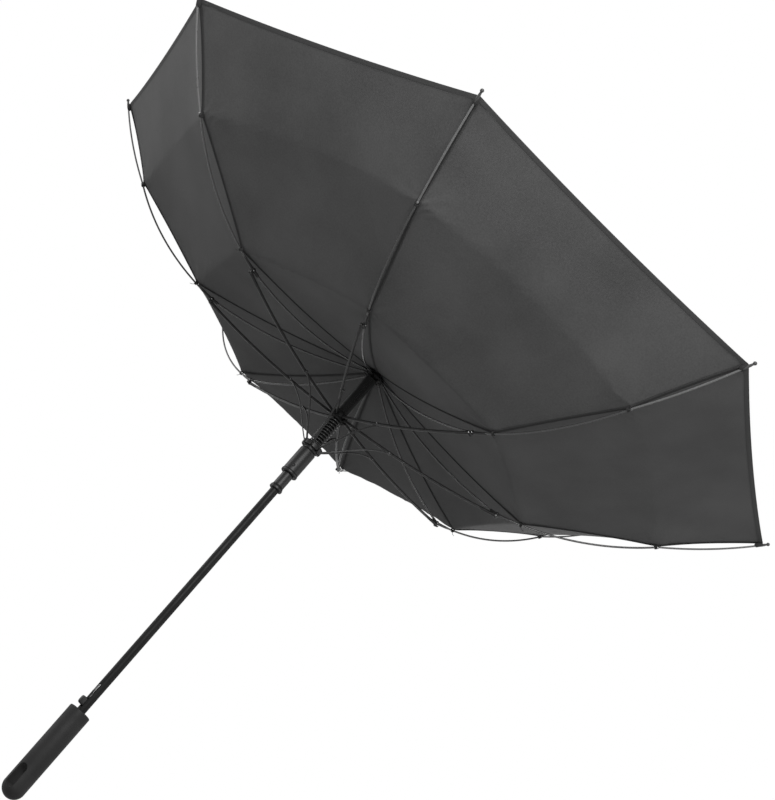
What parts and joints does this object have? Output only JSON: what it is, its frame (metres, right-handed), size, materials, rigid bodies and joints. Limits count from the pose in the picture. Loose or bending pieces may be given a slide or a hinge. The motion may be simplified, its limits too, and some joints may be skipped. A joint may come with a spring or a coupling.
{
  "type": "golf umbrella",
  "caption": "Automatic golf umbrella with hinged ribs, a spring-opened runner, a straight grip and a canopy blown inside out.",
  "frame": {"origin": "bottom of the grip on the shaft's axis, where a hand or a holder carries the umbrella", "axes": "+Z along the shaft from the grip towards the ferrule; +X and -X through the strap slot"},
  "size_m": [1.1722, 1.1839, 1.0438],
  "materials": {
    "shaft_black": "satin",
    "grip": "matt",
    "moulded_black": "satin",
    "spring_black": "satin",
    "rib_black": "satin",
    "rib_grey": "satin",
    "bright_steel": "satin",
    "canopy_fabric": "woven"
  },
  "bodies": {
    "shaft": {"shaft": "shaft_black", "handle": "grip", "catch_spring": "bright_steel", "crown_notch": "moulded_black", "ferrule": "moulded_black", "buffer_spring": "spring_black"},
    "release_button": {"release_button": "moulded_black"},
    "runner": {"runner": "moulded_black", "runner_sleeve": "moulded_black", "opening_spring": "bright_steel"},
    "hub": {"stretcher_hub": "moulded_black"},
    "rib_inner_1": {"rib_inner_1": "rib_black", "canopy_gore_1": "canopy_fabric"},
    "rib_mid_1": {"rib_mid_1": "rib_black"},
    "rib_outer_1": {"rib_outer_1": "rib_grey"},
    "stretcher_1": {"stretcher_1": "rib_black"},
    "strut_1": {"strut_1": "bright_steel"},
    "rib_inner_2": {"rib_inner_2": "rib_black", "canopy_gore_2": "canopy_fabric"},
    "rib_mid_2": {"rib_mid_2": "rib_black"},
    "rib_outer_2": {"rib_outer_2": "rib_grey"},
    "stretcher_2": {"stretcher_2": "rib_black"},
    "strut_2": {"strut_2": "bright_steel"},
    "rib_inner_3": {"rib_inner_3": "rib_black", "canopy_gore_3": "canopy_fabric"},
    "rib_mid_3": {"rib_mid_3": "rib_black"},
    "rib_outer_3": {"rib_outer_3": "rib_grey"},
    "stretcher_3": {"stretcher_3": "rib_black"},
    "strut_3": {"strut_3": "bright_steel"},
    "rib_inner_4": {"rib_inner_4": "rib_black", "canopy_gore_4": "canopy_fabric"},
    "rib_mid_4": {"rib_mid_4": "rib_black"},
    "rib_outer_4": {"rib_outer_4": "rib_grey"},
    "stretcher_4": {"stretcher_4": "rib_black"},
    "strut_4": {"strut_4": "bright_steel"},
    "rib_inner_5": {"rib_inner_5": "rib_black", "canopy_gore_5": "canopy_fabric"},
    "rib_mid_5": {"rib_mid_5": "rib_black"},
    "rib_outer_5": {"rib_outer_5": "rib_grey"},
    "stretcher_5": {"stretcher_5": "rib_black"},
    "strut_5": {"strut_5": "bright_steel"},
    "rib_inner_6": {"rib_inner_6": "rib_black", "canopy_gore_6": "canopy_fabric"},
    "rib_mid_6": {"rib_mid_6": "rib_black"},
    "rib_outer_6": {"rib_outer_6": "rib_grey"},
    "stretcher_6": {"stretcher_6": "rib_black"},
    "strut_6": {"strut_6": "bright_steel"},
    "rib_inner_7": {"rib_inner_7": "rib_black", "canopy_gore_7": "canopy_fabric"},
    "rib_mid_7": {"rib_mid_7": "rib_black"},
    "rib_outer_7": {"rib_outer_7": "rib_grey"},
    "stretcher_7": {"stretcher_7": "rib_black"},
    "strut_7": {"strut_7": "bright_steel"},
    "rib_inner_8": {"rib_inner_8": "rib_black", "canopy_gore_8": "canopy_fabric"},
    "rib_mid_8": {"rib_mid_8": "rib_black"},
    "rib_outer_8": {"rib_outer_8": "rib_grey"},
    "stretcher_8": {"stretcher_8": "rib_black"},
    "strut_8": {"strut_8": "bright_steel"}
  },
  "joints": [
    {"name": "runner_slide", "type": "slide", "parent": "shaft", "child": "runner", "axis": [0, 0, -1], "range_m": [0, 0.41576], "deforming": ["opening_spring", "canopy_gore_1", "canopy_gore_2", "canopy_gore_3", "canopy_gore_4", "canopy_gore_5", "canopy_gore_6", "canopy_gore_7", "canopy_gore_8"]},
    {"name": "release_button_press", "type": "slide", "parent": "shaft", "child": "release_button", "axis": [-0.9455, 0.3256, 0], "range_m": [0, 0.003], "stiffness_N_per_m": 300, "springref_m": -0.001},
    {"name": "hub_slide", "type": "slide", "parent": "shaft", "child": "hub", "axis": [0, 0, -1], "range_m": [0, 0.45785]},
    {"name": "rib_1_crown_hinge", "type": "hinge", "parent": "shaft", "child": "rib_inner_1", "pos_m": [0.01293, 0.00536, 0.835], "axis": [-0.3827, 0.9239, 0], "range_deg": [0, 76.69]},
    {"name": "rib_1_mid_flex", "type": "hinge", "parent": "rib_inner_1", "child": "rib_mid_1", "pos_m": [0.26146, 0.1083, 0.775], "axis": [-0.3827, 0.9239, 0], "range_deg": [0, 28.09]},
    {"name": "rib_1_outer_flex", "type": "hinge", "parent": "rib_mid_1", "child": "rib_outer_1", "pos_m": [0.4759, 0.19712, 0.85324], "axis": [-0.3827, 0.9239, 0], "range_deg": [0, 29.05]},
    {"name": "stretcher_1_hub_hinge", "type": "hinge", "parent": "hub", "child": "stretcher_1", "pos_m": [0.01439, 0.00185, 0.7457], "axis": [-0.3827, 0.9239, 0], "range_deg": [-84.56, 0]},
    {"name": "strut_1_runner_hinge", "type": "hinge", "parent": "runner", "child": "strut_1", "pos_m": [0.01309, 0.00499, 0.68], "axis": [-0.3827, 0.9239, 0], "range_deg": [-48.06, 0]},
    {"name": "rib_2_crown_hinge", "type": "hinge", "parent": "shaft", "child": "rib_inner_2", "pos_m": [0.00536, 0.01293, 0.835], "axis": [-0.9239, 0.3827, 0], "range_deg": [0, 76.69]},
    {"name": "rib_2_mid_flex", "type": "hinge", "parent": "rib_inner_2", "child": "rib_mid_2", "pos_m": [0.1083, 0.26146, 0.775], "axis": [-0.9239, 0.3827, 0], "range_deg": [0, 32.08]},
    {"name": "rib_2_outer_flex", "type": "hinge", "parent": "rib_mid_2", "child": "rib_outer_2", "pos_m": [0.19483, 0.47035, 0.86919], "axis": [-0.9239, 0.3827, 0], "range_deg": [0, 26]},
    {"name": "stretcher_2_hub_hinge", "type": "hinge", "parent": "hub", "child": "stretcher_2", "pos_m": [0.00887, 0.01148, 0.7457], "axis": [-0.9239, 0.3827, 0], "range_deg": [-84.56, 0]},
    {"name": "strut_2_runner_hinge", "type": "hinge", "parent": "runner", "child": "strut_2", "pos_m": [0.00573, 0.01278, 0.68], "axis": [-0.9239, 0.3827, 0], "range_deg": [-48.06, 0]},
    {"name": "rib_3_crown_hinge", "type": "hinge", "parent": "shaft", "child": "rib_inner_3", "pos_m": [-0.00536, 0.01293, 0.835], "axis": [-0.9239, -0.3827, 0], "range_deg": [0, 76.69]},
    {"name": "rib_3_mid_flex", "type": "hinge", "parent": "rib_inner_3", "child": "rib_mid_3", "pos_m": [-0.1083, 0.26146, 0.775], "axis": [-0.9239, -0.3827, 0], "range_deg": [0, 37.27]},
    {"name": "rib_3_outer_flex", "type": "hinge", "parent": "rib_mid_3", "child": "rib_outer_3", "pos_m": [-0.19121, 0.46163, 0.88924], "axis": [-0.9239, -0.3827, 0], "range_deg": [0, 22.04]},
    {"name": "stretcher_3_hub_hinge", "type": "hinge", "parent": "hub", "child": "stretcher_3", "pos_m": [-0.00185, 0.01439, 0.7457], "axis": [-0.9239, -0.3827, 0], "range_deg": [-84.56, 0]},
    {"name": "strut_3_runner_hinge", "type": "hinge", "parent": "runner", "child": "strut_3", "pos_m": [-0.00499, 0.01309, 0.68], "axis": [-0.9239, -0.3827, 0], "range_deg": [-48.06, 0]},
    {"name": "rib_4_crown_hinge", "type": "hinge", "parent": "shaft", "child": "rib_inner_4", "pos_m": [-0.01293, 0.00536, 0.835], "axis": [-0.3827, -0.9239, 0], "range_deg": [0, 76.69]},
    {"name": "rib_4_mid_flex", "type": "hinge", "parent": "rib_inner_4", "child": "rib_mid_4", "pos_m": [-0.26146, 0.1083, 0.775], "axis": [-0.3827, -0.9239, 0], "range_deg": [0, 45.81]},
    {"name": "rib_4_outer_flex", "type": "hinge", "parent": "rib_mid_4", "child": "rib_outer_4", "pos_m": [-0.44373, 0.1838, 0.92017], "axis": [-0.3827, -0.9239, 0], "range_deg": [0, 18.28]},
    {"name": "stretcher_4_hub_hinge", "type": "hinge", "parent": "hub", "child": "stretcher_4", "pos_m": [-0.01148, 0.00887, 0.7457], "axis": [-0.3827, -0.9239, 0], "range_deg": [-84.56, 0]},
    {"name": "strut_4_runner_hinge", "type": "hinge", "parent": "runner", "child": "strut_4", "pos_m": [-0.01278, 0.00573, 0.68], "axis": [-0.3827, -0.9239, 0], "range_deg": [-48.06, 0]},
    {"name": "rib_5_crown_hinge", "type": "hinge", "parent": "shaft", "child": "rib_inner_5", "pos_m": [-0.01293, -0.00536, 0.835], "axis": [0.3827, -0.9239, 0], "range_deg": [0, 76.69]},
    {"name": "rib_5_mid_flex", "type": "hinge", "parent": "rib_inner_5", "child": "rib_mid_5", "pos_m": [-0.26146, -0.1083, 0.775], "axis": [0.3827, -0.9239, 0], "range_deg": [0, 40.16]},
    {"name": "rib_5_outer_flex", "type": "hinge", "parent": "rib_mid_5", "child": "rib_outer_5", "pos_m": [-0.45605, -0.1889, 0.90002], "axis": [0.3827, -0.9239, 0], "range_deg": [0, 19.82]},
    {"name": "stretcher_5_hub_hinge", "type": "hinge", "parent": "hub", "child": "stretcher_5", "pos_m": [-0.01439, -0.00185, 0.7457], "axis": [0.3827, -0.9239, 0], "range_deg": [-84.56, 0]},
    {"name": "strut_5_runner_hinge", "type": "hinge", "parent": "runner", "child": "strut_5", "pos_m": [-0.01309, -0.00499, 0.68], "axis": [0.3827, -0.9239, 0], "range_deg": [-48.06, 0]},
    {"name": "rib_6_crown_hinge", "type": "hinge", "parent": "shaft", "child": "rib_inner_6", "pos_m": [-0.00536, -0.01293, 0.835], "axis": [0.9239, -0.3827, 0], "range_deg": [0, 76.69]},
    {"name": "rib_6_mid_flex", "type": "hinge", "parent": "rib_inner_6", "child": "rib_mid_6", "pos_m": [-0.1083, -0.26146, 0.775], "axis": [0.9239, -0.3827, 0], "range_deg": [0, 36.17]},
    {"name": "rib_6_outer_flex", "type": "hinge", "parent": "rib_mid_6", "child": "rib_outer_6", "pos_m": [-0.19204, -0.46361, 0.88508], "axis": [0.9239, -0.3827, 0], "range_deg": [0, 22.87]},
    {"name": "stretcher_6_hub_hinge", "type": "hinge", "parent": "hub", "child": "stretcher_6", "pos_m": [-0.00887, -0.01148, 0.7457], "axis": [0.9239, -0.3827, 0], "range_deg": [-84.56, 0]},
    {"name": "strut_6_runner_hinge", "type": "hinge", "parent": "runner", "child": "strut_6", "pos_m": [-0.00573, -0.01278, 0.68], "axis": [0.9239, -0.3827, 0], "range_deg": [-48.06, 0]},
    {"name": "rib_7_crown_hinge", "type": "hinge", "parent": "shaft", "child": "rib_inner_7", "pos_m": [0.00536, -0.01293, 0.835], "axis": [0.9239, 0.3827, 0], "range_deg": [0, 76.69]},
    {"name": "rib_7_mid_flex", "type": "hinge", "parent": "rib_inner_7", "child": "rib_mid_7", "pos_m": [0.1083, -0.26146, 0.775], "axis": [0.9239, 0.3827, 0], "range_deg": [0, 30.99]},
    {"name": "rib_7_outer_flex", "type": "hinge", "parent": "rib_mid_7", "child": "rib_outer_7", "pos_m": [0.1955, -0.47198, 0.86485], "axis": [0.9239, 0.3827, 0], "range_deg": [0, 26.84]},
    {"name": "stretcher_7_hub_hinge", "type": "hinge", "parent": "hub", "child": "stretcher_7", "pos_m": [0.00185, -0.01439, 0.7457], "axis": [0.9239, 0.3827, 0], "range_deg": [-84.56, 0]},
    {"name": "strut_7_runner_hinge", "type": "hinge", "parent": "runner", "child": "strut_7", "pos_m": [0.00499, -0.01309, 0.68], "axis": [0.9239, 0.3827, 0], "range_deg": [-48.06, 0]},
    {"name": "rib_8_crown_hinge", "type": "hinge", "parent": "shaft", "child": "rib_inner_8", "pos_m": [0.01293, -0.00536, 0.835], "axis": [0.3827, 0.9239, 0], "range_deg": [0, 76.69]},
    {"name": "rib_8_mid_flex", "type": "hinge", "parent": "rib_inner_8", "child": "rib_mid_8", "pos_m": [0.26146, -0.1083, 0.775], "axis": [0.3827, 0.9239, 0], "range_deg": [0, 27.64]},
    {"name": "rib_8_outer_flex", "type": "hinge", "parent": "rib_mid_8", "child": "rib_outer_8", "pos_m": [0.47646, -0.19736, 0.8514], "axis": [0.3827, 0.9239, 0], "range_deg": [0, 29.4]},
    {"name": "stretcher_8_hub_hinge", "type": "hinge", "parent": "hub", "child": "stretcher_8", "pos_m": [0.01148, -0.00887, 0.7457], "axis": [0.3827, 0.9239, 0], "range_deg": [-84.56, 0]},
    {"name": "strut_8_runner_hinge", "type": "hinge", "parent": "runner", "child": "strut_8", "pos_m": [0.01278, -0.00573, 0.68], "axis": [0.3827, 0.9239, 0], "range_deg": [-48.06, 0]}
  ],
  "couplings": [
    {"joint": "hub_slide", "follows": "runner_slide", "ratio": 1.1},
    {"joint": "rib_1_crown_hinge", "follows": "runner_slide", "rad_per_m": 3.2066},
    {"joint": "rib_1_mid_flex", "follows": "runner_slide", "rad_per_m": 1.1668},
    {"joint": "rib_1_outer_flex", "follows": "runner_slide", "rad_per_m": 1.2069},
    {"joint": "stretcher_1_hub_hinge", "follows": "runner_slide", "rad_per_m": -3.5374},
    {"joint": "strut_1_runner_hinge", "follows": "runner_slide", "rad_per_m": -2.0049},
    {"joint": "rib_2_crown_hinge", "follows": "runner_slide", "rad_per_m": 3.2066},
    {"joint": "rib_2_mid_flex", "follows": "runner_slide", "rad_per_m": 1.3342},
    {"joint": "rib_2_outer_flex", "follows": "runner_slide", "rad_per_m": 1.0789},
    {"joint": "stretcher_2_hub_hinge", "follows": "runner_slide", "rad_per_m": -3.5374},
    {"joint": "strut_2_runner_hinge", "follows": "runner_slide", "rad_per_m": -2.0049},
    {"joint": "rib_3_crown_hinge", "follows": "runner_slide", "rad_per_m": 3.2066},
    {"joint": "rib_3_mid_flex", "follows": "runner_slide", "rad_per_m": 1.5518},
    {"joint": "rib_3_outer_flex", "follows": "runner_slide", "rad_per_m": 0.91245},
    {"joint": "stretcher_3_hub_hinge", "follows": "runner_slide", "rad_per_m": -3.5374},
    {"joint": "strut_3_runner_hinge", "follows": "runner_slide", "rad_per_m": -2.0049},
    {"joint": "rib_4_crown_hinge", "follows": "runner_slide", "rad_per_m": 3.2066},
    {"joint": "rib_4_mid_flex", "follows": "runner_slide", "rad_per_m": 1.9105},
    {"joint": "rib_4_outer_flex", "follows": "runner_slide", "rad_per_m": 0.75468},
    {"joint": "stretcher_4_hub_hinge", "follows": "runner_slide", "rad_per_m": -3.5374},
    {"joint": "strut_4_runner_hinge", "follows": "runner_slide", "rad_per_m": -2.0049},
    {"joint": "rib_5_crown_hinge", "follows": "runner_slide", "rad_per_m": 3.2066},
    {"joint": "rib_5_mid_flex", "follows": "runner_slide", "rad_per_m": 1.6732},
    {"joint": "rib_5_outer_flex", "follows": "runner_slide", "rad_per_m": 0.81962},
    {"joint": "stretcher_5_hub_hinge", "follows": "runner_slide", "rad_per_m": -3.5374},
    {"joint": "strut_5_runner_hinge", "follows": "runner_slide", "rad_per_m": -2.0049},
    {"joint": "rib_6_crown_hinge", "follows": "runner_slide", "rad_per_m": 3.2066},
    {"joint": "rib_6_mid_flex", "follows": "runner_slide", "rad_per_m": 1.5058},
    {"joint": "rib_6_outer_flex", "follows": "runner_slide", "rad_per_m": 0.9476},
    {"joint": "stretcher_6_hub_hinge", "follows": "runner_slide", "rad_per_m": -3.5374},
    {"joint": "strut_6_runner_hinge", "follows": "runner_slide", "rad_per_m": -2.0049},
    {"joint": "rib_7_crown_hinge", "follows": "runner_slide", "rad_per_m": 3.2066},
    {"joint": "rib_7_mid_flex", "follows": "runner_slide", "rad_per_m": 1.2882},
    {"joint": "rib_7_outer_flex", "follows": "runner_slide", "rad_per_m": 1.114},
    {"joint": "stretcher_7_hub_hinge", "follows": "runner_slide", "rad_per_m": -3.5374},
    {"joint": "strut_7_runner_hinge", "follows": "runner_slide", "rad_per_m": -2.0049},
    {"joint": "rib_8_crown_hinge", "follows": "runner_slide", "rad_per_m": 3.2066},
    {"joint": "rib_8_mid_flex", "follows": "runner_slide", "rad_per_m": 1.1478},
    {"joint": "rib_8_outer_flex", "follows": "runner_slide", "rad_per_m": 1.2214},
    {"joint": "stretcher_8_hub_hinge", "follows": "runner_slide", "rad_per_m": -3.5374},
    {"joint": "strut_8_runner_hinge", "follows": "runner_slide", "rad_per_m": -2.0049}
  ]
}
